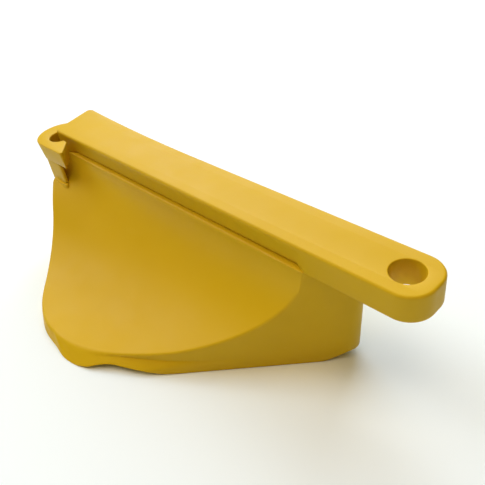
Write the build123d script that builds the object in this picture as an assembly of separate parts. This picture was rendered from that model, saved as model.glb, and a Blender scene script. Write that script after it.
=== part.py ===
from build123d import *
import os
from math import atan2, cos, degrees, hypot, pi, radians, sin, tan

# A mulching plug for a walk-behind mower, in millimetres.
# The origin is on the axis of the round eye, in the plane of the rail's top face.
# +X runs along the rail from the hook ear to the eye, +Z is up.
# The rail carries the plug by its hook ear and its eye. The hollow scoop hangs below the rail,
# with its concave face towards -Y.

# Mounting rail
rail_width = 32.0
rail_thickness = 15.8
rail_wall = 4.0
rail_reach = 292.0          # from the eye's axis to the hook end, along the near edge
eye_radius = 8.6
eye_to_tip = 16.0
tip_corner_radius = 13.4
end_slant = 9.5             # how much further the far edge runs at the hook end
end_flare = 5.8             # how much wider the rail is at the hook end
flare_length = 130.0
end_corner_radius = 1.8
edge_radius = 1.0

# Undercut in the rail's near face, which leaves the shell's rim standing as a ledge
undercut_depth = 3.4
undercut_hook_gap = 15.0    # from the hook end of the near edge to the start of the undercut
undercut_eye_gap = 52.0     # from the end of the undercut to the eye's axis

# Hook ear at the rail's near corner, a C that opens along +X
ear_radius = 18.6
ear_drop = 2.6              # the ear's top below the rail's top
ear_thickness = 14.0
ear_draft = 2.0             # degrees
ear_inset = 5.0             # from the hook end to the ear's axis, along the rail
ear_axis_in = 1.8           # from the near edge to the ear's axis, across the rail
hook_radius = 8.6
hook_offset = 3.2           # the hook hole's axis from the ear's axis, along the rail
hook_mouth = 3.2            # width of the hook's mouth beside the rail
lobe_length = 31.0          # from the ear's axis to the end of its near lobe
lobe_rise = 0.6             # the lobe's outer side comes in by this much towards its end
lobe_slant = 15.0           # how much shorter the lobe is on its inner side

# Deflector scoop
wall = 4.0
depth = 86.0                # from the rail's top to the scoop's foot
reach = 92.2                # from the rail's near edge to the nose, at the foot
foot_lean = 4.0             # the rim's nose stands back from the foot's by this much
side_start = 49.0           # from the eye's axis back to where the side wall leaves the near edge
side_angle = 45.0           # of both side walls against the rail, in plan
back_gap = 3.0              # the rail's far edge stands over the back wall by this much
hook_side_start = 13.0      # how far past the hook end the hook-side wall would meet the near edge
hook_end_setback = 5.0      # from the hook end to the scoop's end wall
top_corner_radius = 5.5     # corner of the back and side walls, under the rail
skirt_corner_radius = 8.0   # the same corner at the top of the skirt
foot_corner_radius = 15.0   # and at the foot
rim_nose_radius = 130.0     # nose corner on the eye side, at the rim
foot_nose_radius = 48.0     # the same corner at the foot
hook_nose_radius = 57.0
nose_fill = 0.98            # the nose's two corners take up at most this share of its line
skirt_height = 8.0          # the walls lean out to the foot over this height
end_wall_radius = 3.0

# Concave face: a quarter of an ellipse in each cross-section
nose_step_hook = 5.0        # the ellipse ends this much above the foot at the hook end
nose_step_eye = 9.6         # and at the eye end
face_over = 6.8             # the ellipse would end this far beyond the nose
face_shift = 22.4           # the face stands this much further out at the hook end
shift_span = 179.0
shoulder_hook = 28.0        # height over which the shift is reached at the hook end
shoulder_eye = 40.0
shoulder_span = 60.0

face_end_gap = 17.0         # from the eye's axis back to the end of the face
face_margin = 15.0          # the face runs on past the scoop by this much
face_columns = 14
face_rows = 10

# Web under the ear, ribs and notch
web_inset = 4.5             # the web stands back from the ear by this much
web_height = 13.0
web_ledge = 1.4             # width of the ledge at the web's foot
rib_thickness = 3.0
rib_rise = 12.0             # the ribs end this much above the foot
notch_nose = 16.0           # the notch starts this far along the nose from its corner
notch_side = 41.0           # and ends this far along the side wall
notch_height = 7.5
notch_peak = 0.32           # where the notch's top begins, as a share of its width
notch_flat = 0.1            # width of the notch's top, as a share of its width
notch_over = 0.02           # its far slope runs on past its width by this share

# Screws
screw_count = 4
screw_radius = 2.0
screw_clearance = 0.25
head_radius = 4.2
head_height = 2.6
boss_radius = 6.0
boss_height = 5.0
screw_length = 15.0
socket_radius = 2.0

rim_reach = reach - foot_lean
face_reach = reach + face_over
face_depth_hook = depth - rail_thickness - nose_step_hook
face_depth_eye = depth - rail_thickness - nose_step_eye
face_length = rail_reach - face_end_gap

near_y = -rail_width / 2
far_y = rail_width / 2
hook_x = -rail_reach
under_z = -rail_thickness
foot_z = -depth
nose_y = near_y - reach
back_y = far_y - back_gap
ear_x = hook_x + ear_inset
ear_y = near_y + ear_axis_in
undercut_x0 = hook_x + undercut_hook_gap
undercut_x1 = -undercut_eye_gap


def rail_outline():
    """Plan of the rail: straight near edge, round tip, far edge that flares at the hook end."""
    tip_x = eye_to_tip
    near = Line((hook_x, near_y), (tip_x, near_y))
    tip = Line((tip_x, near_y), (tip_x, far_y))
    far = Line((tip_x, far_y), (hook_x + flare_length, far_y))
    corner = (hook_x - end_slant, far_y + end_flare)
    flare_turn = (-flare_length, 2 * end_flare)
    flare = Spline((hook_x + flare_length, far_y), corner, tangents=[(-1, 0), flare_turn])
    end = Line(corner, (hook_x, near_y))
    face = make_face([near, tip, far, flare, end])
    tips = face.vertices().sort_by(Axis.X)[-2:]
    face = fillet(tips, tip_corner_radius)
    ends = face.vertices().sort_by(Axis.X)[:2]
    return fillet(ends, end_corner_radius)


def undercut():
    """Wedge taken out of the rail's near face, deepest at its underside."""
    start_z = -2 * edge_radius
    section = Polyline((near_y - 1, start_z), (near_y, start_z),
                       (near_y + undercut_depth, under_z), (near_y - 1, under_z), close=True)
    face = Plane.YZ * make_face(section)
    return Pos(undercut_x0, 0, 0) * extrude(face, undercut_x1 - undercut_x0)


def ear_outline(inset=0.0):
    """Plan of the ear: a disc with a near lobe that runs along the rail."""
    radius = ear_radius - inset
    disc = Pos(ear_x, ear_y) * Circle(radius)
    lobe_x = ear_x + lobe_length - inset
    inner_y = near_y - hook_mouth
    outer_y = ear_y - radius + lobe_rise
    lobe = make_face(Polyline((ear_x, ear_y - radius), (lobe_x, outer_y),
                              (lobe_x - lobe_slant, inner_y), (ear_x, inner_y), close=True))
    return disc + lobe


def hook_ear():
    """C-shaped ear beside the rail, with the half-round hole that hooks over a peg."""
    ear = extrude(Pos(0, 0, -ear_drop) * ear_outline(), -ear_thickness, taper=ear_draft)
    hole = Pos(ear_x + hook_offset, near_y) * Cylinder(hook_radius, 4 * ear_thickness)
    mouth_length = 2 * lobe_length
    mouth = Pos(ear_x + hook_offset + mouth_length / 2, near_y - hook_mouth / 2)
    mouth = mouth * Box(mouth_length, hook_mouth, 4 * ear_thickness)
    return ear - hole - mouth


def screw_spots():
    """Screw centres along the rail's middle, evenly spaced under the undercut stretch."""
    step = (undercut_x1 - undercut_x0) / screw_count
    return [(undercut_x0 + step * (i + 0.5), 0.0) for i in range(screw_count)]


def rail_core():
    """Pocket in the rail's underside, which leaves a post of plastic round each screw."""
    back = far_y - rail_wall
    front = near_y + undercut_depth + rail_wall
    length = -undercut_eye_gap - hook_x - ear_radius - 2 * rail_wall
    middle_x = -undercut_eye_gap - rail_wall - length / 2
    height = rail_thickness - rail_wall
    core = Pos(middle_x, (back + front) / 2, under_z + height / 2)
    core = core * Box(length, back - front, height)
    for x, y in screw_spots():
        core = core - Pos(x, y, under_z + height / 2) * Cylinder(boss_radius, height)
    return core


def mounting_rail():
    bar = extrude(rail_outline(), -rail_thickness)
    top = bar.faces().sort_by(Axis.Z)[-1]
    bar = fillet(top.edges(), edge_radius)
    bar = bar - undercut() - Cylinder(eye_radius, 4 * rail_thickness) - rail_core()
    rail = bar + hook_ear()
    grip = screw_length - wall - boss_height
    for x, y in screw_spots():
        rail = rail - Pos(x, y, under_z + grip / 2) * Cylinder(screw_radius, grip)
    return rail


def face_point(x, turn):
    """A point of the concave face, at station x and at a turn down its quarter ellipse.

    The face starts at the near edge of the rail's underside. Its ellipse is shifted outwards
    near the hook end, and the shift is reached over the height of the shoulder.
    """
    station = x - hook_x
    share = min(station / face_length, 1.0)
    face_depth = face_depth_hook + (face_depth_eye - face_depth_hook) * share
    down = face_depth * sin(turn)
    out = face_reach * (1 - cos(turn))
    left = min(max(1 - station / shift_span, 0.0), 1.1)
    blend = min(max(station / shoulder_span, 0.0), 1.0)
    shoulder = shoulder_hook + (shoulder_eye - shoulder_hook) * blend
    rise = min(down / shoulder, 1.0)
    shift = face_shift * left ** 2 * rise ** 2 * (3 - 2 * rise)
    return Vector(x, near_y - out - shift, under_z - down)


def inner_point(x, turn):
    """The point one wall behind the concave face, along the face's normal."""
    step = 0.01
    along = face_point(x + 1.0, turn) - face_point(x - 1.0, turn)
    down = face_point(x, turn + step) - face_point(x, max(turn - step, 0.0))
    normal = along.cross(down).normalized()
    return face_point(x, turn) + normal * wall


def in_front_of(point):
    """Everything in front of and above the surface that point(x, turn) draws."""
    stations = [hook_x - face_margin + (face_length + 2 * face_margin) * i / face_columns
                for i in range(face_columns + 1)]
    turns = [pi / 2 * j / face_rows for j in range(face_rows + 1)]
    surface = Face.make_surface_from_array_of_points(
        [[point(x, turn) for turn in turns] for x in stations], tol=0.02)
    return Solid.extrude(surface, Vector(0, -2 * reach, 2 * reach))


def scoop_outline(nose_reach, nose_radius, corner_radius, inset):
    """Plan of the scoop: back and end walls under the rail, two slanted sides and a nose."""
    slope = tan(radians(side_angle))
    side_x = -side_start
    end_x = hook_x + hook_end_setback
    hook_side_x = hook_x - hook_side_start
    corners = [(end_x, back_y),
               (side_x + (back_y - near_y) / slope, back_y),
               (side_x - nose_reach / slope, near_y - nose_reach),
               (hook_side_x + nose_reach / slope, near_y - nose_reach),
               (end_x, near_y - (end_x - hook_side_x) * slope)]
    nose_line = corners[2][0] - corners[3][0]
    room = nose_line / tan(radians(side_angle) / 2)
    share = min(1.0, room / (nose_radius + hook_nose_radius) * nose_fill)
    radii = [end_wall_radius, corner_radius, nose_radius * share, hook_nose_radius * share,
             end_wall_radius]
    face = make_face(Polyline(*corners, close=True))
    for corner, radius in zip(corners, radii):
        vertex = face.vertices().sort_by_distance((corner[0], corner[1], 0))[0]
        face = fillet(vertex, radius)
    return offset(face, -inset, kind=Kind.INTERSECTION) if inset else face


def scoop_block(inset=0.0):
    """The scoop's full block: nearly upright walls above a skirt that leans out to the foot."""
    skirt_z = foot_z + skirt_height
    top = scoop_outline(rim_reach, rim_nose_radius, top_corner_radius, inset)
    skirt = scoop_outline(rim_reach, rim_nose_radius, skirt_corner_radius, inset)
    foot = scoop_outline(reach, foot_nose_radius, foot_corner_radius, inset)
    upper = loft([Pos(0, 0, skirt_z) * skirt, Pos(0, 0, under_z - inset) * top], ruled=True)
    return upper + loft([Pos(0, 0, foot_z) * foot, Pos(0, 0, skirt_z) * skirt], ruled=True)


def ear_web():
    """Web that joins the ear's underside to the scoop, with a small ledge at its foot."""
    top = -ear_drop - ear_thickness
    web = extrude(Pos(0, 0, top) * ear_outline(web_inset), -web_height)
    web += extrude(Pos(0, 0, top - web_height) * ear_outline(web_inset - web_ledge), -web_height)
    end_x = hook_x + hook_end_setback
    return web & Pos(end_x + reach, 0, top) * Box(2 * reach, 2 * reach, 6 * web_height)


def notch():
    """Shallow inverted V between the two feet, through the nose corner of the skirt."""
    slope = radians(side_angle)
    corner_x = -side_start - reach / tan(slope)
    left = (corner_x - notch_nose, nose_y)
    right = (corner_x + notch_side * cos(slope), nose_y + notch_side * sin(slope))
    span = hypot(right[0] - left[0], right[1] - left[1])
    turn = degrees(atan2(right[1] - left[1], right[0] - left[0]))
    peak = make_face(Polyline((0, -notch_height), (span * notch_peak, notch_height),
                              (span * (notch_peak + notch_flat), notch_height),
                              (span * (1 + notch_over), -1), (span, -notch_height), close=True))
    cut = extrude(Plane.XZ * peak, 2 * notch_nose, both=True)
    return Pos(left[0], left[1], foot_z) * Rot(0, 0, turn) * cut


def ribs(cavity):
    """Cross ribs in the hollow, midway between the screws."""
    step = (undercut_x1 - undercut_x0) / screw_count
    height = under_z - foot_z - rib_rise
    rib = Box(rib_thickness, 4 * reach, height)
    middle_z = under_z - height / 2
    plates = [Pos(undercut_x0 + step * (i + 1), 0, middle_z) * rib for i in range(screw_count - 1)]
    return [plate & cavity for plate in plates]


def deflector_scoop():
    shell = scoop_block() - in_front_of(face_point)
    cavity = scoop_block(wall) - in_front_of(inner_point)
    shell = shell + ear_web() - cavity
    ear_room = extrude(Pos(0, 0, under_z) * ear_outline(), rail_thickness - ear_drop - ear_thickness)
    shell = shell - ear_room
    for rib in ribs(cavity):
        shell = shell + rib
    for x, y in screw_spots():
        boss_z = under_z - wall - boss_height / 2
        shell = shell + Pos(x, y, boss_z) * Cylinder(boss_radius, boss_height)
        hole = Cylinder(screw_radius + screw_clearance, 4 * wall + 4 * boss_height)
        shell = shell - Pos(x, y, under_z) * hole
    return shell - notch()


def rail_screw():
    """Pan-head screw, its head's bearing face at z = 0 and its shank along +Z."""
    shank = Pos(0, 0, screw_length / 2) * Cylinder(screw_radius, screw_length)
    head = Pos(0, 0, -head_height / 2) * Cylinder(head_radius, head_height)
    socket = extrude(Pos(0, 0, -head_height) * RegularPolygon(socket_radius, 6), head_height / 2)
    return shank + head - socket


def rail_screws():
    seat_z = under_z - wall - boss_height
    screws = [Pos(x, y, seat_z) * rail_screw() for x, y in screw_spots()]
    return Compound([s.solids()[0] for s in screws])


os.makedirs("parts", exist_ok=True)
export_step(mounting_rail(), "parts/mounting_rail.step")
export_step(deflector_scoop(), "parts/deflector_scoop.step")
export_step(rail_screws(), "parts/rail_screws.step")
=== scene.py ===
"""Finished surfaces, materials, stage and camera for a mower's mulching plug.

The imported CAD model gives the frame. Each sub-assembly is a class that holds its sizes in
millimetres, works out its surfaces as whole numpy arrays and dresses them.
"""

import logging
import math
from collections.abc import Callable
from dataclasses import dataclass, field
from enum import Enum

import bmesh
import bpy
import numpy as np
from mathutils import Matrix, Vector
from mathutils.geometry import tessellate_polygon


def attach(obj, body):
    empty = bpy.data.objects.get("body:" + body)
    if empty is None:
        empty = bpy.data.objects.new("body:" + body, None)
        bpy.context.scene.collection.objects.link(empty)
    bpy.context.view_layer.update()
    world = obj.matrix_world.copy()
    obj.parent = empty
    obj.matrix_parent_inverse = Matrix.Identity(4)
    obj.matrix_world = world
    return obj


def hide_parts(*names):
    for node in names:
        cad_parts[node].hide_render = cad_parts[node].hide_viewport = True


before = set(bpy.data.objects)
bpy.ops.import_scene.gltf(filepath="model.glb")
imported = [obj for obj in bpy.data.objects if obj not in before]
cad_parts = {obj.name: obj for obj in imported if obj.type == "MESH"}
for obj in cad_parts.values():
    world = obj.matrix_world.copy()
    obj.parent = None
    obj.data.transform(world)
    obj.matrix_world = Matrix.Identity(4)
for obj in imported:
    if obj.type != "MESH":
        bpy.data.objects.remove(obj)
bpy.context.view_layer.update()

LOG = logging.getLogger("mulching_plug")
MM = 0.001
TINY = 1e-9
ROOT = "root"

# Meshing: merge distance in millimetres, angle of a hard edge, halvings of a bracket, circle steps.
WELD = 0.02
SHARP = math.radians(34.0)
HALVINGS = 40
ROUND_STEPS = 72

# Sizes that the rail, the scoop and the screws share, in millimetres.
RAIL_WIDTH = 32.0
RAIL_THICKNESS = 15.8
HOOK_END = -292.0
EAR_CENTRE = (-287.0, -14.2)
FOOT_HEIGHT = -86.0
WALL = 4.0
BOSS_HEIGHT = 5.0
BAY = 56.25
FIRST_RIB = -220.75
RIB_PLACES = tuple(FIRST_RIB + BAY * k for k in range(3))
SCREW_PLACES = tuple(FIRST_RIB + BAY * (k - 0.5) for k in range(4))

Array = np.ndarray
Socket = bpy.types.NodeSocket
Pair = tuple[float, float]
Triple = tuple[float, float, float]
Colour = Triple


class Slot(Enum):
    """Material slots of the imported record."""

    PLASTIC = "yellow_plastic"
    STEEL = "screw_steel"


# ---------------- arrays and meshes


class Skin:
    """Collects vertices and faces of one piece, in millimetres, and turns them into a mesh."""

    def __init__(self) -> None:
        """Starts with no vertices and no faces."""
        self.points: list[Array] = []
        self.faces: list[tuple[int, ...]] = []
        self.count = 0

    def add(self, points: Array) -> int:
        """Adds vertices.

        Args:
            points: array whose last axis has length 3.

        Returns:
            The index of the first new vertex.
        """
        first = self.count
        self.points.append(np.asarray(points, dtype=float).reshape(-1, 3))
        self.count += len(self.points[-1])
        return first

    def grid(self, points: Array, closed_rows: bool = False, flip: bool = False) -> None:
        """Adds a grid of quads.

        Args:
            points: array of shape (rows, columns, 3). Seen from outside, rows run down and
                columns run to the right.
            closed_rows: joins the last column to the first.
            flip: turns the faces over.
        """
        rows, columns = points.shape[:2]
        index = self.add(points) + np.arange(rows * columns).reshape(rows, columns)
        right = np.roll(index, -1, axis=1)
        if not closed_rows:
            index, right = index[:, :-1], right[:, :-1]
        quads = np.stack([index[:-1], index[1:], right[1:], right[:-1]], axis=-1).reshape(-1, 4)
        if flip:
            quads = quads[:, ::-1]
        self.faces += [tuple(quad) for quad in quads.tolist()]

    def cap(self, outline: Array, holes: tuple[Array, ...] = (), up: bool = True) -> None:
        """Fills a flat outline, less its holes, with triangles.

        Args:
            outline: array of shape (n, 3).
            holes: further loops that are left open.
            up: whether the faces look towards +Z.
        """
        loops = [outline, *holes]
        stacked = np.concatenate(loops)
        first = self.add(stacked)
        triangles = np.array(tessellate_polygon([[Vector(p) for p in loop] for loop in loops]))
        a, b, c = (stacked[triangles[:, k]] for k in range(3))
        turn = np.cross(b - a, c - a)[:, 2]
        wrong = (turn < 0) if up else (turn > 0)
        triangles[wrong] = triangles[wrong][:, ::-1]
        self.faces += [tuple(triangle) for triangle in (triangles + first).tolist()]

    def solid(self, rings: list[Array]) -> None:
        """Adds closed rings from the top down, with a cap on the first and on the last."""
        self.grid(np.stack(rings), closed_rows=True)
        self.cap(rings[0], up=True)
        self.cap(rings[-1], up=False)

    def build(self, name: str) -> bpy.types.Object:
        """Makes the mesh object, its doubles merged and its smooth shading set.

        Args:
            name: the piece's name.

        Returns:
            The new object, at the origin.
        """
        mesh = bpy.data.meshes.new(name)
        points = np.concatenate(self.points) * MM
        mesh.from_pydata(points.tolist(), [], self.faces)
        welded = bmesh.new()
        welded.from_mesh(mesh)
        bmesh.ops.remove_doubles(welded, verts=welded.verts, dist=WELD * MM)
        bmesh.ops.dissolve_degenerate(welded, dist=WELD * MM, edges=welded.edges)
        for face in welded.faces:
            face.smooth = True
        for edge in welded.edges:
            edge.smooth = edge.calc_face_angle(0.0) < SHARP
        welded.to_mesh(mesh)
        welded.free()
        piece = bpy.data.objects.new(name, mesh)
        bpy.context.scene.collection.objects.link(piece)
        return piece


def filleted(corners: list[Pair], radii: list[float], steps: int,
             straight: int) -> Array:
    """A closed plan outline whose corners are circular arcs.

    Each corner with radius r starts and ends its arc at r divided by the tangent of half the
    angle between its sides from the corner. The arc's points are the circle's centre plus r at
    evenly spaced angles. Between arcs the outline is straight.

    Args:
        corners: plan points in order.
        radii: one radius for each corner.
        steps: segments in each arc.
        straight: segments in each straight run.

    Returns:
        Array of shape (n, 2). Every call with the same counts has the same number of points.
    """
    pts = np.array(corners, dtype=float)
    before = np.roll(pts, 1, axis=0) - pts
    after = np.roll(pts, -1, axis=0) - pts
    before /= np.linalg.norm(before, axis=1, keepdims=True)
    after /= np.linalg.norm(after, axis=1, keepdims=True)
    half = 0.5 * np.arccos(np.clip((before * after).sum(1), -1, 1))
    radius = np.array(radii)
    reach = radius / np.tan(half)
    start = pts + before * reach[:, None]
    end = pts + after * reach[:, None]
    middle = before + after
    middle /= np.linalg.norm(middle, axis=1, keepdims=True)
    centre = pts + middle * (radius / np.sin(half))[:, None]
    first = np.arctan2(start[:, 1] - centre[:, 1], start[:, 0] - centre[:, 0])
    last = np.arctan2(end[:, 1] - centre[:, 1], end[:, 0] - centre[:, 0])
    turn = (last - first + np.pi) % (2 * np.pi) - np.pi
    angle = first[:, None] + turn[:, None] * np.linspace(0, 1, steps + 1)
    arcs = centre[:, None] + radius[:, None, None] * np.stack([np.cos(angle), np.sin(angle)], -1)
    along = np.linspace(0, 1, straight + 1)[1:-1, None]
    following = np.roll(start, -1, axis=0)
    runs = end[:, None] + (following - end)[:, None] * along
    return np.concatenate([arcs, runs], axis=1).reshape(-1, 2)


def outward(outline: Array) -> Array:
    """Unit normals of a closed outline: each point's step between neighbours, turned clockwise.

    Args:
        outline: plan points, anticlockwise.

    Returns:
        Array of shape (n, 2).
    """
    along = np.roll(outline, -1, axis=0) - np.roll(outline, 1, axis=0)
    normal = np.stack([along[:, 1], -along[:, 0]], axis=-1)
    return normal / np.maximum(np.linalg.norm(normal, axis=1, keepdims=True), TINY)


def anticlockwise(outline: Array) -> Array:
    """The plan outline, turned round if its signed area is negative."""
    x, y = outline.T
    return outline if (x * np.roll(y, -1) - y * np.roll(x, -1)).sum() > 0 else outline[::-1]


def arc(centre: Pair, radius: float, angle: Array) -> Array:
    """Plan points at the centre plus the radius times the cosine and the sine of each angle."""
    return np.stack([centre[0] + radius * np.cos(angle), centre[1] + radius * np.sin(angle)], -1)


def circle(x: float, y: float, radius: float, steps: int = ROUND_STEPS) -> Array:
    """Plan points at evenly spaced angles on a circle."""
    return arc((x, y), radius, np.arange(steps) * 2 * np.pi / steps)


def lifted(outline: Array, z: float | Array) -> Array:
    """Plan points with a height added."""
    return np.column_stack([outline, np.broadcast_to(z, len(outline))])


def rounded_edge(radius: float, steps: int) -> tuple[Array, Array]:
    """Rows of a rounded edge, from the flat face to the side.

    Args:
        radius: the edge's radius.
        steps: segments in the quarter circle.

    Returns:
        Inset radius * (1 - sin a) and drop radius * (1 - cos a), for a from 0 to a right angle.
    """
    angle = np.linspace(0, np.pi / 2, steps + 1)
    return radius * (1 - np.sin(angle)), radius * (1 - np.cos(angle))


def halved(low: Array, high: Array,
           rises: Callable[[Array], Array]) -> Array:
    """Halves a bracket until it is closed.

    Args:
        low: one end of each bracket.
        high: the other end.
        rises: test that holds where the low end has to move to the middle.

    Returns:
        The brackets' high ends.
    """
    for _ in range(HALVINGS):
        middle = 0.5 * (low + high)
        up = rises(middle)
        low, high = np.where(up, middle, low), np.where(up, high, middle)
    return high


# ---------------- finishes


@dataclass(frozen=True)
class Pattern:
    """A noise pattern: features per metre, octaves, weight of the finer ones, axis scales."""

    scale: float
    detail: float = 2.0
    roughness: float = 0.5
    stretch: Triple = (1.0, 1.0, 1.0)


@dataclass(frozen=True)
class Marks:
    """Marks on a surface: the pattern's values over the band become 0 to the share."""

    pattern: Pattern
    band: Pair
    share: float = 1.0


@dataclass(frozen=True)
class Relief:
    """A bump: its pattern, its depth in metres and its strength."""

    pattern: Pattern
    distance: float
    strength: float


class Nodes:
    """Short calls for building one material's node tree."""

    def __init__(self, name: str) -> None:
        """Starts a material with a Principled shader and Object coordinates."""
        self.material = bpy.data.materials.new(name)
        self.material.use_nodes = True
        self.tree = self.material.node_tree
        self.tree.nodes.clear()
        self.output = self.tree.nodes.new("ShaderNodeOutputMaterial")
        self.shader = self.tree.nodes.new("ShaderNodeBsdfPrincipled")
        self.link(self.shader.outputs["BSDF"], self.output.inputs["Surface"])
        self.coordinates = self.tree.nodes.new("ShaderNodeTexCoord").outputs["Object"]

    def link(self, source: Socket, target: Socket) -> None:
        """Links two sockets."""
        self.tree.links.new(source, target)

    def feed(self, source: Socket, name: str) -> None:
        """Links a socket to the shader's input of that name."""
        self.link(source, self.shader.inputs[name])

    def hold(self, name: str, value: float | tuple[float, ...]) -> None:
        """Sets a constant on the shader's own input of that name."""
        self.shader.inputs[name].default_value = value

    def noise(self, pattern: Pattern) -> Socket:
        """A noise texture on Object coordinates, scaled by axis.

        Args:
            pattern: the texture's values.

        Returns:
            The pattern's value socket, 0 to 1.
        """
        mapping = self.tree.nodes.new("ShaderNodeMapping")
        mapping.inputs["Scale"].default_value = pattern.stretch
        self.link(self.coordinates, mapping.inputs["Vector"])
        node = self.tree.nodes.new("ShaderNodeTexNoise")
        node.inputs["Scale"].default_value = pattern.scale
        node.inputs["Detail"].default_value = pattern.detail
        node.inputs["Roughness"].default_value = pattern.roughness
        self.link(mapping.outputs["Vector"], node.inputs["Vector"])
        return node.outputs["Fac"]

    def ramp(self, value: Socket, band: Pair,
             result: Pair) -> Socket:
        """Maps a value from one range to another, clamped.

        Args:
            value: the socket that is mapped.
            band: low and high end of the value.
            result: what the low and the high end become.

        Returns:
            The result's socket.
        """
        node = self.tree.nodes.new("ShaderNodeMapRange")
        for key, number in zip(("From Min", "From Max", "To Min", "To Max"), (*band, *result)):
            node.inputs[key].default_value = number
        self.link(value, node.inputs["Value"])
        return node.outputs["Result"]

    def marks(self, marks: Marks) -> Socket:
        """The marks' share at each place."""
        return self.ramp(self.noise(marks.pattern), marks.band, (0.0, marks.share))

    def blend(self, share: Socket, first: Colour | Socket,
              second: Colour | Socket) -> Socket:
        """A colour between two colours.

        Args:
            share: how much of the second colour.
            first: constant or socket.
            second: constant or socket.

        Returns:
            The blended colour's socket.
        """
        node = self.tree.nodes.new("ShaderNodeMix")
        node.data_type = "RGBA"
        self.link(share, node.inputs["Factor"])
        for key, colour in (("A", first), ("B", second)):
            socket = next(s for s in node.inputs if s.name == key and s.type == "RGBA")
            if isinstance(colour, tuple):
                socket.default_value = (*colour, 1.0)
            else:
                self.link(colour, socket)
        return next(s for s in node.outputs if s.type == "RGBA")

    def bump(self, relief: Relief,
             under: Socket | None = None) -> Socket:
        """A bumped normal.

        Args:
            relief: the bump's pattern, depth and strength.
            under: the normal that the bump lies on, if it isn't the surface's own.

        Returns:
            The normal's socket.
        """
        node = self.tree.nodes.new("ShaderNodeBump")
        node.inputs["Distance"].default_value = relief.distance
        node.inputs["Strength"].default_value = relief.strength
        self.link(self.noise(relief.pattern), node.inputs["Height"])
        if under is not None:
            self.link(under, node.inputs["Normal"])
        return node.outputs["Normal"]


@dataclass(frozen=True)
class MouldedPlastic:
    """Satin polypropylene, coloured through, from a finely spark-eroded tool.

    The colour drifts slightly along the flow, with a few paler scuffs. The bump adds three
    heights: a fine grain, a soft orange peel and long shallow flow waves.
    """

    colour: Colour = (0.66, 0.425, 0.0085)
    deep: Colour = (0.64, 0.408, 0.0068)
    pale: Colour = (0.69, 0.46, 0.024)
    drift: Marks = Marks(Pattern(9.0, 3.0, 0.55, (1.0, 2.2, 2.2)), (0.35, 0.65))
    specks: Marks = Marks(Pattern(260.0, 4.0, 0.7), (0.60, 0.78), 0.30)
    scuffs: Marks = Marks(Pattern(38.0, 6.0, 0.75, (0.35, 1.0, 1.0)), (0.62, 0.74), 0.35)
    gloss: Pattern = Pattern(60.0, 5.0, 0.6)
    gloss_band: Pair = (0.3, 0.7)
    roughness: Pair = (0.36, 0.48)
    waves: Relief = Relief(Pattern(30.0, 1.0, 0.4, (0.5, 1.0, 1.0)), 0.0008, 0.10)
    peel: Relief = Relief(Pattern(420.0), 0.00012, 0.22)
    grain: Relief = Relief(Pattern(2600.0, 2.0, 0.6), 0.00004, 0.30)
    index: float = 1.49
    reflection: float = 0.13
    glow: float = 0.06
    glow_radii: Colour = (1.0, 0.55, 0.12)
    glow_depth: float = 0.0012

    def material(self, name: str) -> bpy.types.Material:
        """Builds the node tree and returns the material."""
        nodes = Nodes(name)
        body = nodes.blend(nodes.marks(self.drift), self.deep, self.colour)
        for marks in (self.specks, self.scuffs):
            body = nodes.blend(nodes.marks(marks), body, self.pale)
        nodes.feed(body, "Base Color")
        gloss = nodes.noise(self.gloss)
        nodes.feed(nodes.ramp(gloss, self.gloss_band, self.roughness), "Roughness")
        peel = nodes.bump(self.peel, nodes.bump(self.waves))
        nodes.feed(nodes.bump(self.grain, peel), "Normal")
        nodes.hold("IOR", self.index)
        nodes.hold("Specular IOR Level", self.reflection)
        nodes.hold("Subsurface Weight", self.glow)
        nodes.hold("Subsurface Radius", self.glow_radii)
        nodes.hold("Subsurface Scale", self.glow_depth)
        return nodes.material


@dataclass(frozen=True)
class ZincSteel:
    """Bright zinc-plated steel with a faint turned grain and duller patches."""

    bright: Colour = (0.66, 0.66, 0.63)
    dull: Colour = (0.46, 0.46, 0.43)
    patches: Marks = Marks(Pattern(420.0, 4.0, 0.6), (0.35, 0.7))
    roughness: Pair = (0.24, 0.42)
    grain: Relief = Relief(Pattern(5200.0), 0.00002, 0.25)

    def material(self, name: str) -> bpy.types.Material:
        """Builds the node tree and returns the material."""
        nodes = Nodes(name)
        patches = nodes.marks(self.patches)
        nodes.feed(nodes.blend(patches, self.bright, self.dull), "Base Color")
        nodes.feed(nodes.ramp(patches, (0.0, 1.0), self.roughness), "Roughness")
        nodes.feed(nodes.bump(self.grain), "Normal")
        nodes.hold("Metallic", 1.0)
        return nodes.material


def dress(piece: bpy.types.Object, material: bpy.types.Material,
          replaced: str) -> bpy.types.Object:
    """Gives a piece its finish and its place in the frame.

    Args:
        piece: the finished piece.
        material: its material.
        replaced: the CAD node that it stands for.

    Returns:
        The same piece.
    """
    piece.data.materials.clear()
    piece.data.materials.append(material)
    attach(piece, ROOT)
    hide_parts(replaced)
    return piece


# ---------------- mounting rail


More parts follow.
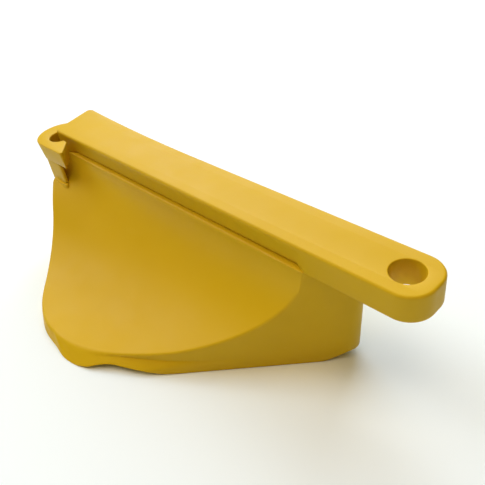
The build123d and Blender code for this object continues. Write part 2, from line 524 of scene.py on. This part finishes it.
@dataclass
class Rail:
    """The mounting rail: a long bar with a round eye, an undercut near face and a hook ear."""

    near: float = -RAIL_WIDTH / 2
    far: float = RAIL_WIDTH / 2
    thickness: float = RAIL_THICKNESS
    hook_end: float = HOOK_END
    tip: float = 16.0
    tip_radius: float = 13.4
    end_slant: float = 9.5
    end_flare: float = 5.8
    flare_length: float = 130.0
    flare_radius: float = 40.0
    end_radius: float = 4.0
    edge: float = 1.5
    foot_edge: float = 0.8
    side_rows: int = 8
    eye_radius: float = 8.6
    eye_draft: float = 0.25
    eye_edge: float = 0.6
    eye_low_edge: float = 0.2
    undercut_depth: float = 3.4
    undercut_span: Pair = (-277.0, -52.0)
    undercut_run: float = 1.2
    undercut_top: float = 2.1
    undercut_band: float = 0.5
    ear_radius: float = 18.6
    ear_arc: Pair = (80.0, 275.0)
    ear_top: float = -2.6
    ear_thickness: float = 14.0
    ear_lean: float = 1.6
    ear_edge: float = 0.9
    ear_low_edge: float = 0.6
    ear_root: float = 3.0
    hook_centre: Pair = (-283.8, -16.4)
    hook_radius: float = 8.6
    mouth: float = 3.0
    lobe_end: float = -256.0
    lobe_slant: float = 15.0
    lobe_rise: float = 0.6
    lobe_radii: Pair = (1.6, 1.2)
    lobe_line: float = 40.0
    skin: Skin = field(default_factory=Skin)

    def outline(self) -> Array:
        """Plan of the bar, anticlockwise.

        The far edge is straight and then leaves its line by the flare times the square of the
        share of the flare's length.

        Returns:
            Array of shape (n, 2).
        """
        corner = (self.hook_end - self.end_slant, self.far + self.end_flare)
        start = self.hook_end + self.flare_length
        corners = [(self.hook_end, self.near), (self.tip, self.near), (self.tip, self.far),
                   (start, self.far), corner]
        radii = [self.end_radius, self.tip_radius, self.tip_radius, self.flare_radius,
                 self.end_radius]
        plan = filleted(corners, radii, steps=24, straight=40)
        share = np.clip((start - plan[:, 0]) / (start - corner[0]), 0, 1)
        on_far = plan[:, 1] > self.far - self.end_radius
        plan[on_far, 1] += self.end_flare * (share ** 2 - share)[on_far]
        return plan

    def undercut(self, plan: Array, z: float) -> Array:
        """How far the near face stands back at one height.

        It is the depth times the share of the thickness below the undercut's top, with a short
        smooth run at both ends.

        Args:
            plan: the bar's outline.
            z: the height.

        Returns:
            One distance for each point, 0 away from the near face.
        """
        x = plan[:, 0]
        low, high = self.undercut_span
        rise = np.clip((x - low) / self.undercut_run, 0, 1)
        fall = np.clip((high - x) / self.undercut_run, 0, 1)
        share = np.clip((-z - self.undercut_top) / (self.thickness - self.undercut_top), 0, 1)
        smooth = (rise * fall) ** 2 * (3 - 2 * rise * fall)
        on_near = plan[:, 1] < self.near + self.undercut_band
        return np.where(on_near, self.undercut_depth * share * smooth, 0.0)

    def bar(self) -> None:
        """Sides, rounded edges and flat faces of the bar, with the eye through it."""
        plan = self.outline()
        normal = outward(plan)
        inset, drop = rounded_edge(self.edge, steps=5)
        low_inset, low_drop = rounded_edge(self.foot_edge, steps=3)
        side = np.linspace(-self.edge, self.foot_edge - self.thickness, self.side_rows + 1)[1:]
        heights = np.concatenate([-drop, side, -self.thickness + low_drop[::-1][1:]])
        insets = np.concatenate([inset, np.zeros(self.side_rows), low_inset[::-1][1:]])
        loops = []
        for z, back in zip(heights, insets):
            loop = plan - normal * back
            loop[:, 1] += self.undercut(plan, z)
            loops.append(lifted(loop, z))
        self.skin.grid(np.stack(loops), closed_rows=True)
        eye = self.eye()
        self.skin.cap(loops[0], (eye[0],), up=True)
        self.skin.cap(loops[-1], (eye[-1],), up=False)

    def eye(self) -> Array:
        """Wall of the eye: two rounded edges and a straight bore, as circles joined downwards.

        Returns:
            The circles, from the top face to the underside.
        """
        inset, drop = rounded_edge(self.eye_edge, steps=4)
        low_inset, low_drop = rounded_edge(self.eye_low_edge, steps=3)
        low_radius = self.eye_radius - self.eye_draft
        radii = np.concatenate([self.eye_radius + inset, low_radius + low_inset[::-1]])
        heights = np.concatenate([-drop, -self.thickness + low_drop[::-1]])
        rings = np.stack([lifted(circle(0, 0, r), z) for r, z in zip(radii, heights)])
        self.skin.grid(rings, closed_rows=True, flip=True)
        return rings

    def ear_outline(self) -> Array:
        """Plan of the C-shaped ear: outer arc, lobe, mouth, inner arc and a root in the rail.

        Both arcs are circles at evenly spaced angles. The lobe's two corners are arcs between
        lines along the rail and the slant to the mouth.

        Returns:
            Array of shape (n, 2), anticlockwise.
        """
        hook_x, hook_y = self.hook_centre
        outer = arc(EAR_CENTRE, self.ear_radius, np.linspace(*np.radians(self.ear_arc), num=60))
        lobe_y = EAR_CENTRE[1] - self.ear_radius + self.lobe_rise
        mouth_x, mouth_y = self.lobe_end - self.lobe_slant, self.near - self.mouth
        steps = 8
        lines = [(self.lobe_end - self.lobe_line, lobe_y), (self.lobe_end, lobe_y),
                 (mouth_x, mouth_y), (mouth_x - self.lobe_line, mouth_y)]
        lobe = filleted(lines, [0.0, *self.lobe_radii, 0.0], steps, straight=1)
        lobe = lobe[steps + 1:3 * (steps + 1)]
        dip = math.asin((mouth_y - hook_y) / self.hook_radius)
        inner = arc(self.hook_centre, self.hook_radius, np.linspace(dip, -math.pi, num=48))
        root_y = self.near + self.ear_root
        root = np.array([(hook_x - self.hook_radius, root_y), (hook_x, root_y)])
        return anticlockwise(np.concatenate([outer, lobe, inner, root]))

    def ear(self) -> None:
        """The ear: its plan carried down, with a rounded top edge and sides that lean in."""
        plan = self.ear_outline()
        normal = outward(plan)
        inset, drop = rounded_edge(self.ear_edge, steps=4)
        low_inset, low_drop = rounded_edge(self.ear_low_edge, steps=3)
        low = self.ear_top - self.ear_thickness
        heights = np.concatenate([self.ear_top - drop, low + low_drop[::-1]])
        share = (self.ear_top - heights) / self.ear_thickness
        insets = np.concatenate([inset, low_inset[::-1]]) + self.ear_lean * share
        loops = [lifted(plan - normal * back, z) for z, back in zip(heights, insets)]
        self.skin.solid(loops)

    def build(self, material: bpy.types.Material) -> bpy.types.Object:
        """Builds the rail, dresses it and returns the piece."""
        self.bar()
        self.ear()
        return dress(self.skin.build("mounting_rail_body"), material, "mounting_rail")


# ---------------- deflector scoop


@dataclass(frozen=True)
class Level:
    """Plan sizes of the scoop at one height: those of the rim, the skirt's top or the foot."""

    height: float
    reach: float
    nose_radius: float
    corner_radius: float


@dataclass(frozen=True)
class Swell:
    """A soft move of the outline, by the amount times exp(-(distance / width) squared)."""

    amount: float
    place: Pair
    width: float


@dataclass
class Scoop:
    """The hollow scoop: a concave face between slanted walls, with a skirt that leans out."""

    near: float = -RAIL_WIDTH / 2
    back: float = 13.0
    end: float = -287.0
    hook_end: float = HOOK_END
    side: float = -49.0
    hook_side: float = -305.0
    rim: Level = Level(-RAIL_THICKNESS, 88.2, 130.0, 5.5)
    skirt: Level = Level(-78.0, 88.2, 130.0, 8.0)
    foot: Level = Level(FOOT_HEIGHT, 92.2, 48.0, 15.0)
    hook_nose_radius: float = 57.0
    end_radius: float = 3.0
    least_radius: float = 0.3
    arc_steps: int = 22
    run_steps: int = 26
    nose_swell: Swell = Swell(-4.0, (-120.5, -83.5), 38.0)
    toe_swell: Swell = Swell(2.4, (-172.0, -108.0), 12.0)
    swell_limit: float = 12.0
    face_depths: Pair = (65.2, 60.6)
    face_length: float = 275.0
    face_reach: float = 99.0
    face_shift: float = 22.4
    shift_span: float = 179.0
    shift_most: float = 1.1
    shoulders: Pair = (28.0, 40.0)
    shoulder_span: float = 60.0
    face_rows: int = 44
    ledge_rows: int = 4
    edge_rows: int = 7
    wall_rows: int = 14
    skirt_rows: int = 7
    inner_rows: int = 13
    back_rows: int = 30
    ledge_edge: float = 2.0
    side_edge: float = 1.5
    nose_edge: float = 1.8
    edge_share: float = 0.45
    foot_edge: float = 0.9
    least_wall: float = 0.3
    notch_from: Pair = (-157.2, -108.2)
    notch_to: Pair = (-112.2, -79.2)
    notch_shares: tuple[float, ...] = (-0.05, 0.17, 0.26, 1.05)
    notch_lifts: tuple[float, ...] = (0.0, 2.0, 5.0, 0.0)
    notch_softness: int = 5
    rib_thickness: float = 3.0
    rib_foot: float = -74.0
    rib_steps: int = 260
    rib_overlap: float = 1.0
    boss_radius: float = 6.0
    boss_edge: float = 0.5
    boss_overlap: float = 0.4
    boss_steps: int = 48
    web_ends: Pair = (-290.8, -286.5)
    web_depths: Pair = (16.4, 18.2)
    web_tips: Pair = (-265.0, -262.5)
    web_heights: tuple[Pair, ...] = ((-16.2, -33.6), (-32.9, -38.0))
    web_slant: Pair = (21.5, 8.2)
    web_corner_radius: float = 1.2
    web_tip_radius: float = 1.4
    web_root_radius: float = 3.0
    web_edge: float = 0.4
    skin: Skin = field(default_factory=Skin)

    @property
    def front_count(self) -> int:
        """Points of the outline from the hook end round the nose to the rail on the eye side."""
        return 3 * self.arc_steps + 4 * self.run_steps + 1

    def loop(self, level: Level, inset: float = 0.0) -> Array:
        """Plan outline of a level: end wall, slanted sides and nose, then the back wall.

        The lines of the walls are moved in by the inset, and each corner's radius is less by it.
        The upper levels are drawn in at the eye-side corner of the nose, and the foot is pushed
        out at the toe, along the outline's normal.

        Args:
            level: the height's plan sizes.
            inset: distance from the outer surface.

        Returns:
            Array of shape (n, 2), anticlockwise, with the same n for every level and inset.
        """
        back, reach = self.back - inset, level.reach - inset
        side = self.side - inset * math.sqrt(2)
        hook_side = self.hook_side + inset * math.sqrt(2)
        end = self.end + inset
        first, last = (end, self.near + inset), (side + inset, self.near + inset)
        nose = [(end, self.near - (end - hook_side)), (hook_side + reach, self.near - reach),
                (side - reach, self.near - reach)]
        rear = [(side + back - self.near, back), (end, back)]
        tight = max(self.end_radius - inset, self.least_radius)
        nose_radii = [tight, self.hook_nose_radius - inset, level.nose_radius - inset]
        rear_radii = [max(level.corner_radius - inset, self.least_radius), tight]
        front_line, rear_line = (
            filleted(corners, [0.0, *radii, 0.0], self.arc_steps, self.run_steps)[self.arc_steps:]
            for corners, radii in (([first, *nose, last], nose_radii),
                                   ([last, *rear, first], rear_radii)))
        rear_count = 2 * self.arc_steps + 3 * self.run_steps
        plan = np.concatenate([front_line[:self.front_count], rear_line[1:rear_count]])
        swell = self.toe_swell if level is self.foot else self.nose_swell
        away = np.linalg.norm(plan - np.array(swell.place), axis=1)
        forward = plan[:, 1] < self.near - self.swell_limit
        bell = swell.amount * np.exp(-(away / swell.width) ** 2) * forward
        return plan + outward(plan) * bell[:, None]

    def turned(self, x: Array, turn: Array,
               behind: float) -> tuple[Array, Array]:
        """A point of the concave face's cross-section.

        The face is a quarter ellipse: out = reach * (1 - cos turn), down = depth * sin turn. It
        is shifted out by shift * left squared * rise squared * (3 - 2 * rise), where left falls
        from 1 at the hook end to 0 and rise goes from 0 to 1 over the shoulder's height. The
        point is then moved along the cross-section's normal, to behind the face.

        Args:
            x: stations along the rail.
            turn: turns down the ellipse, in radians.
            behind: distance behind the face.

        Returns:
            The place across the rail and the height.
        """
        station = x - self.hook_end
        deep, shallow = self.face_depths
        depth = deep + (shallow - deep) * np.clip(station / self.face_length, 0, 1)
        left = np.clip(1 - station / self.shift_span, 0, self.shift_most)
        low, high = self.shoulders
        shoulder = low + (high - low) * np.clip(station / self.shoulder_span, 0, 1)
        down = depth * np.sin(turn)
        rise = np.minimum(down / shoulder, 1.0)
        shift = self.face_shift * left ** 2 * rise ** 2 * (3 - 2 * rise)
        lean = self.face_shift * left ** 2 * 6 * rise * (1 - rise) / shoulder
        drop = depth * np.cos(turn)
        out = self.face_reach * np.sin(turn) + lean * drop
        size = np.maximum(np.hypot(drop, out), TINY)
        y = self.near - self.face_reach * (1 - np.cos(turn)) - shift + behind * drop / size
        return y, self.rim.height - down - behind * out / size

    def face_height(self, plan: Array, behind: float = 0.0) -> Array:
        """Height of the concave face, by halving the bracket of the turn.

        Args:
            plan: plan points.
            behind: distance behind the face.

        Returns:
            One height for each point, at most that of the flange's lower side.
        """
        x, y = plan[..., 0], plan[..., 1]
        turn = halved(np.zeros_like(x), np.full_like(x, np.pi / 2),
                      lambda middle: self.turned(x, middle, behind)[0] > y)
        height = self.turned(x, turn, behind)[1]
        return np.minimum(height, self.rim.height - behind)

    def wall_plan(self, z: Array, levels: tuple[Array, ...]) -> Array:
        """Plan of the walls, straight between the levels above and below.

        Args:
            z: one height for each column.
            levels: outlines of the three levels.

        Returns:
            Array of shape (n, 2).
        """
        top, skirt, foot = levels
        upper = np.clip((self.rim.height - z) / (self.rim.height - self.skirt.height), 0, 1)
        lower = np.clip((self.skirt.height - z) / (self.skirt.height - self.foot.height), 0, 1)
        return top + (skirt - top) * upper[:, None] + (foot - skirt) * lower[:, None]

    def rim_height(self, levels: tuple[Array, ...], behind: float) -> Array:
        """Height at which the walls meet the concave face, by halving.

        Args:
            levels: outlines of the three levels.
            behind: distance behind the face.

        Returns:
            One height for each column.
        """
        count = len(levels[0])
        low, high = np.full(count, self.foot.height), np.full(count, self.rim.height - behind)
        return halved(low, high, lambda middle: self.face_height(
            self.wall_plan(middle, levels), behind) > middle)

    def foot_height(self, plan: Array) -> Array:
        """Height of the foot: level, but for the notch.

        The notch's lift goes straight from one of its heights to the next along its line, and is
        then averaged over neighbouring points.

        Args:
            plan: the foot's outline.

        Returns:
            One height for each point.
        """
        start, end = np.array(self.notch_from), np.array(self.notch_to)
        along = end - start
        share = ((plan - start) @ along) / (along @ along)
        lift = np.interp(share, self.notch_shares, self.notch_lifts)
        count = self.notch_softness
        smooth = np.convolve(np.pad(lift, count // 2, mode="wrap"), np.full(count, 1 / count),
                             mode="valid")
        return self.foot.height + np.where(plan[:, 1] < self.near, smooth, 0.0)

    def columns(self, levels: tuple[Array, ...],
                behind: float) -> tuple[Array, Array, Array]:
        """Ends of the face's columns, which fan out from the rail to the rim.

        Args:
            levels: outlines of the three levels.
            behind: distance behind the face.

        Returns:
            Plan points under the rail, points on the rim, and the columns' lengths in plan.
        """
        count = self.front_count
        fronts = tuple(level[:count] for level in levels)
        rim_z = self.rim_height(fronts, behind)
        rim = np.column_stack([self.wall_plan(rim_z, fronts), rim_z])
        step = np.linalg.norm(np.diff(fronts[0], axis=0), axis=1)
        share = np.concatenate([[0], np.cumsum(step)]) / step.sum()
        x = fronts[0][0, 0] + (fronts[0][-1, 0] - fronts[0][0, 0]) * share
        start = np.column_stack([x, np.full(count, fronts[0][0, 1])])
        return start, rim, np.linalg.norm(rim[:, :2] - start, axis=1)

    def bent(self, first: Array, corner: Array, last: Array,
             steps: int) -> Array:
        """Rows of a soft edge: the parabola from first to last whose sides meet at the corner.

        Args:
            first: points of the first row.
            corner: where the edge would be if it were sharp.
            last: points of the last row.
            steps: segments between the rows.

        Returns:
            Array of shape (steps + 1, n, 3).
        """
        s = np.linspace(0, 1, steps + 1)[:, None, None]
        return (1 - s) ** 2 * first + 2 * s * (1 - s) * corner + s ** 2 * last

    def shell(self) -> None:
        """Concave face, rim, walls, foot and inside of the shell, and the flange under the rail."""
        outer = tuple(self.loop(level) for level in (self.rim, self.skirt, self.foot))
        start, rim, length = self.columns(outer, 0.0)
        count = len(start)
        fronts = tuple(level[:count] for level in outer)
        facing = np.clip(-outward(outer[0])[:count, 1], 0, 1) ** 2
        edge = self.side_edge + (self.nose_edge - self.side_edge) * facing
        edge = np.minimum(edge, self.edge_share * length)
        share = np.sqrt(np.clip(1 - edge / np.maximum(length, TINY), 0, 1))
        rows = np.arange(1, self.face_rows + 1) / self.face_rows
        plan = start + (rim[:, :2] - start) * ((rows[:, None] * share) ** 2)[..., None]
        face = np.concatenate([plan, self.face_height(plan)[..., None]], axis=-1)
        ledge = lifted(start, self.rim.height)
        top = ledge + np.array([0.0, self.ledge_edge, 0.0])
        foot_z = self.foot_height(outer[2])
        begin = rim[:, 2] - np.minimum(edge, self.edge_share * (rim[:, 2] - foot_z[:count]))
        low = np.column_stack([self.wall_plan(begin, fronts), begin])
        self.skin.grid(np.concatenate([self.bent(top, ledge, face[0], self.ledge_rows), face[1:-1],
                                       self.bent(face[-1], rim, low, self.edge_rows)]))
        flange = np.concatenate([top, lifted(outer[0][count - 1:], self.rim.height),
                                 lifted(outer[0][:1], self.rim.height)])
        self.skin.cap(flange, up=True)
        begin = np.concatenate([begin, np.full(len(outer[0]) - count, self.rim.height)])
        self.inside(foot_z, self.walls(outer, begin, foot_z))

    def walls(self, outer: tuple[Array, ...], begin: Array,
              foot_z: Array) -> Array:
        """Outer walls from the rim down to the rounded foot.

        Args:
            outer: outlines of the three levels.
            begin: the walls' upper heights.
            foot_z: the walls' lower heights.

        Returns:
            The last row, which is the foot's outer edge.
        """
        above = foot_z + self.foot_edge
        middle = np.minimum(begin, np.maximum(self.skirt.height, above + self.least_wall))
        upper, lower = (np.linspace(0, 1, n + 1) for n in (self.wall_rows, self.skirt_rows))
        heights = [begin + (middle - begin) * s for s in upper]
        heights += [middle + (above - middle) * s for s in lower[1:]]
        rows = [np.column_stack([self.wall_plan(z, outer), z]) for z in heights]
        inset, drop = rounded_edge(self.foot_edge, steps=4)
        normal = outward(outer[2])
        for back, fall in zip(inset[::-1][1:], drop[::-1][1:]):
            z = foot_z + fall
            rows.append(np.column_stack([self.wall_plan(z, outer) - normal * back, z]))
        self.skin.grid(np.stack(rows), closed_rows=True)
        return rows[-1]

    def inside(self, foot_z: Array, sole: Array) -> None:
        """Foot ring, inner walls, back of the concave face and the flange's underside.

        Args:
            foot_z: the walls' lower heights.
            sole: the foot's outer edge.
        """
        inner = tuple(self.loop(level, WALL) for level in (self.rim, self.skirt, self.foot))
        start, rim, _ = self.columns(inner, WALL)
        count, under = len(start), self.rim.height - WALL
        begin = np.concatenate([rim[:, 2], np.full(len(inner[0]) - count, under)])
        end = np.maximum(np.minimum(foot_z, begin - self.least_wall), self.foot.height)
        heights = [begin + (end - begin) * s for s in np.linspace(0, 1, self.inner_rows + 1)]
        rows = np.stack([np.column_stack([self.wall_plan(z, inner), z]) for z in heights])
        self.skin.grid(rows, closed_rows=True, flip=True)
        self.skin.grid(np.stack([sole, rows[-1]]), closed_rows=True)
        share = np.linspace(0, 1, self.back_rows + 1)[:, None, None] ** 2
        plan = start + (rim[:, :2] - start) * share
        height = self.face_height(plan, WALL)[..., None]
        height[0] = under
        self.skin.grid(np.concatenate([plan, height], axis=-1), flip=True)
        flange = np.concatenate([lifted(start, under), lifted(inner[0][count - 1:], under),
                                 lifted(inner[0][:1], under)])
        self.skin.cap(flange, up=False)

    def ribs(self) -> None:
        """Plates across the hollow, from the back wall to where the face comes down to them."""
        for x in RIB_PLACES:
            y = np.linspace(self.back - WALL + self.rib_overlap, self.near - self.foot.reach,
                            self.rib_steps)
            top = self.face_height(np.column_stack([np.full_like(y, x), y]), WALL)
            top += self.rib_overlap
            keep = top > self.rib_foot
            y, top = y[keep], top[keep]
            left, right = x - self.rib_thickness / 2, x + self.rib_thickness / 2
            low = np.full_like(y, self.rib_foot)
            ring = np.stack([np.stack([np.full_like(y, a), y, b], -1) for a, b in
                             ((left, top), (left, low), (right, low), (right, top))], axis=1)
            self.skin.grid(ring, closed_rows=True)
            for end in (ring[0][::-1], ring[-1]):
                first = self.skin.add(end)
                self.skin.faces.append(tuple(range(first, first + 4)))

    def bosses(self) -> None:
        """Round bosses under the flange, one for each screw."""
        under = self.rim.height - WALL
        top, low = under + self.boss_overlap, under - BOSS_HEIGHT
        inset, drop = rounded_edge(self.boss_edge, steps=3)
        heights = np.concatenate([[top], low + drop[::-1]])
        radii = self.boss_radius - np.concatenate([[0.0], inset[::-1]])
        for x in SCREW_PLACES:
            rings = [lifted(circle(x, 0, r, self.boss_steps), z) for r, z in zip(radii, heights)]
            self.skin.solid(rings)

    def ear_web(self) -> None:
        """Web between the ear's underside and the shoulder, with a small ledge at its foot.

        Either part is a slim wedge in plan, whose side runs back from the tip by the slant.
        """
        radii = [0.0, self.web_corner_radius, self.web_tip_radius, self.web_root_radius, 0.0]
        inset, drop = rounded_edge(self.web_edge, steps=3)
        back = EAR_CENTRE[1]
        for end, depth, tip, (top, low) in zip(self.web_ends, self.web_depths, self.web_tips,
                                               self.web_heights):
            front, inner = back - depth, tip - self.web_slant[0]
            corners = [(end, back), (end, front), (tip, front), (inner, front + self.web_slant[1]),
                       (inner, back)]
            plan = filleted(corners, radii, steps=8, straight=4)
            rings = [lifted(plan - outward(plan) * i, top - d) for i, d in zip(inset, drop)]
            rings.append(lifted(plan, low))
            self.skin.solid(rings)

    def build(self, material: bpy.types.Material) -> bpy.types.Object:
        """Builds the scoop, dresses it and returns the piece."""
        self.shell()
        self.ribs()
        self.bosses()
        self.ear_web()
        return dress(self.skin.build("deflector_scoop_shell"), material,
                     "deflector_scoop")


# ---------------- screws


@dataclass
class Screws:
    """Pan-head screws with a hexagonal recess, driven up through the bosses into the rail."""

    seat: float = -RAIL_THICKNESS - WALL - BOSS_HEIGHT
    shank_radius: float = 2.0
    length: float = 15.0
    point_radius: float = 1.2
    point_length: float = 0.9
    head_radius: float = 4.2
    head_height: float = 2.6
    head_edge: float = 0.9
    recess_radius: float = 2.0
    recess_depth: float = 1.3
    steps: int = 48
    skin: Skin = field(default_factory=Skin)

    def hexagon(self, x: float, z: float) -> Array:
        """The recess at one height: each angle's radius reaches the hexagon's flat side."""
        angle = np.arange(self.steps) * 2 * np.pi / self.steps
        flat = self.recess_radius * math.cos(math.pi / 6)
        return lifted(arc((x, 0.0), flat / np.cos(angle % (math.pi / 3) - math.pi / 6), angle), z)

    def build(self, material: bpy.types.Material) -> bpy.types.Object:
        """Turns each screw's profile, dresses all four and returns the piece."""
        inset, drop = rounded_edge(self.head_edge, steps=5)
        low, top = self.seat - self.head_height, self.seat + self.length
        profile = [(self.point_radius, top), (self.shank_radius, top - self.point_length),
                   (self.shank_radius, self.seat), (self.head_radius, self.seat)]
        profile += [(self.head_radius - i, low + d) for i, d in zip(inset[::-1], drop[::-1])]
        for x in SCREW_PLACES:
            rings = [lifted(circle(x, 0, r, self.steps), z) for r, z in profile]
            rings += [self.hexagon(x, z) for z in (low, low + self.recess_depth)]
            self.skin.solid(rings)
        return dress(self.skin.build("rail_screw_set"), material, "rail_screws")


# ---------------- stage, light and camera


@dataclass(frozen=True)
class Lamp:
    """A square area light: place and size in metres, power in watts, colour."""

    name: str
    place: Triple
    size: float
    power: float
    colour: Colour

    def build(self, aim: Triple) -> None:
        """Sets the light up, turned to its aim."""
        data = bpy.data.lights.new(self.name, "AREA")
        data.shape, data.size = "SQUARE", self.size
        data.energy, data.color = self.power, self.colour
        lamp = bpy.data.objects.new(self.name, data)
        lamp.location = self.place
        lamp.rotation_euler = (Vector(aim) - Vector(self.place)).to_track_quat("-Z", "Y").to_euler()
        bpy.context.scene.collection.objects.link(lamp)


@dataclass(frozen=True)
class Stage:
    """Pale floor under the scoop's foot, soft lights and a dim warm surround, in metres."""

    floor_height: float = FOOT_HEIGHT * MM
    floor_size: float = 3.0
    floor_colour: Colour = (0.86, 0.945, 0.97)
    floor_roughness: float = 0.85
    floor_tooth: Relief = Relief(Pattern(300.0), 0.0002, 0.05)
    surround: Colour = (1.0, 0.78, 0.50)
    surround_strength: float = 0.13
    middle: Triple = (-0.13, -0.03, -0.04)
    lamps: tuple[Lamp, ...] = (
        Lamp("key", (-2.60, -0.70, 2.60), 2.0, 57.0, (0.94, 1.02, 1.14)),
        Lamp("sheen", (-1.75, 1.75, 1.90), 2.7, 78.0, (0.94, 1.02, 1.14)),
        Lamp("overhead", (0.10, -0.60, 2.60), 1.8, 34.0, (1.0, 0.78, 0.52)))

    def floor(self) -> None:
        """A large matt square with a faint tooth."""
        mesh = bpy.data.meshes.new("floor")
        half = self.floor_size / 2
        corners = [(x, y, self.floor_height) for x, y in
                   ((-half, -half), (half, -half), (half, half), (-half, half))]
        mesh.from_pydata(corners, [], [(0, 1, 2, 3)])
        floor = bpy.data.objects.new("floor", mesh)
        bpy.context.scene.collection.objects.link(floor)
        nodes = Nodes("floor_card")
        nodes.hold("Base Color", (*self.floor_colour, 1.0))
        nodes.hold("Roughness", self.floor_roughness)
        nodes.feed(nodes.bump(self.floor_tooth), "Normal")
        mesh.materials.append(nodes.material)

    def build(self) -> None:
        """Sets the floor, the surround and the lights."""
        self.floor()
        world = bpy.data.worlds.new("surround")
        world.use_nodes = True
        shade = world.node_tree.nodes["Background"]
        shade.inputs["Color"].default_value = (*self.surround, 1.0)
        shade.inputs["Strength"].default_value = self.surround_strength
        bpy.context.scene.world = world
        for lamp in self.lamps:
            lamp.build(self.middle)
        bpy.context.scene.view_settings.view_transform = "Standard"


@dataclass(frozen=True)
class Camera:
    """Viewpoint: from above the near corner on the eye side, tilted a little."""

    place: Triple = (0.09552, -0.16890, 0.17119)
    azimuth: float = 50.882
    elevation: float = 37.719
    roll: float = -9.542
    lens: float = 41.08
    sensor: float = 36.0
    nearest: float = 0.01

    def build(self) -> None:
        """Places the camera: the view direction from both angles, then the roll about it."""
        az, el, roll = (math.radians(a) for a in (self.azimuth, self.elevation, self.roll))
        view = Vector((-math.sin(az) * math.cos(el), math.cos(az) * math.cos(el), -math.sin(el)))
        level = view.cross(Vector((0, 0, 1))).normalized()
        upright = level.cross(view)
        right = level * math.cos(roll) + upright * math.sin(roll)
        up = upright * math.cos(roll) - level * math.sin(roll)
        data = bpy.data.cameras.new("camera")
        data.lens, data.sensor_width, data.clip_start = self.lens, self.sensor, self.nearest
        camera = bpy.data.objects.new("camera", data)
        turn = Matrix((right, up, -view)).transposed().to_4x4()
        camera.matrix_world = Matrix.Translation(self.place) @ turn
        bpy.context.scene.collection.objects.link(camera)
        bpy.context.scene.camera = camera


def main() -> None:
    """Builds every sub-assembly in order and reports each piece."""
    logging.basicConfig(level=logging.INFO, format="%(name)s: %(message)s")
    plastic = MouldedPlastic().material("moulded_plastic")
    steel = ZincSteel().material("zinc_steel")
    for piece in (Rail().build(plastic), Scoop().build(plastic), Screws().build(steel)):
        LOG.info("%s: %d faces", piece.name, len(piece.data.polygons))
    Stage().build()
    Camera().build()


if __name__ == "__main__":
    main()
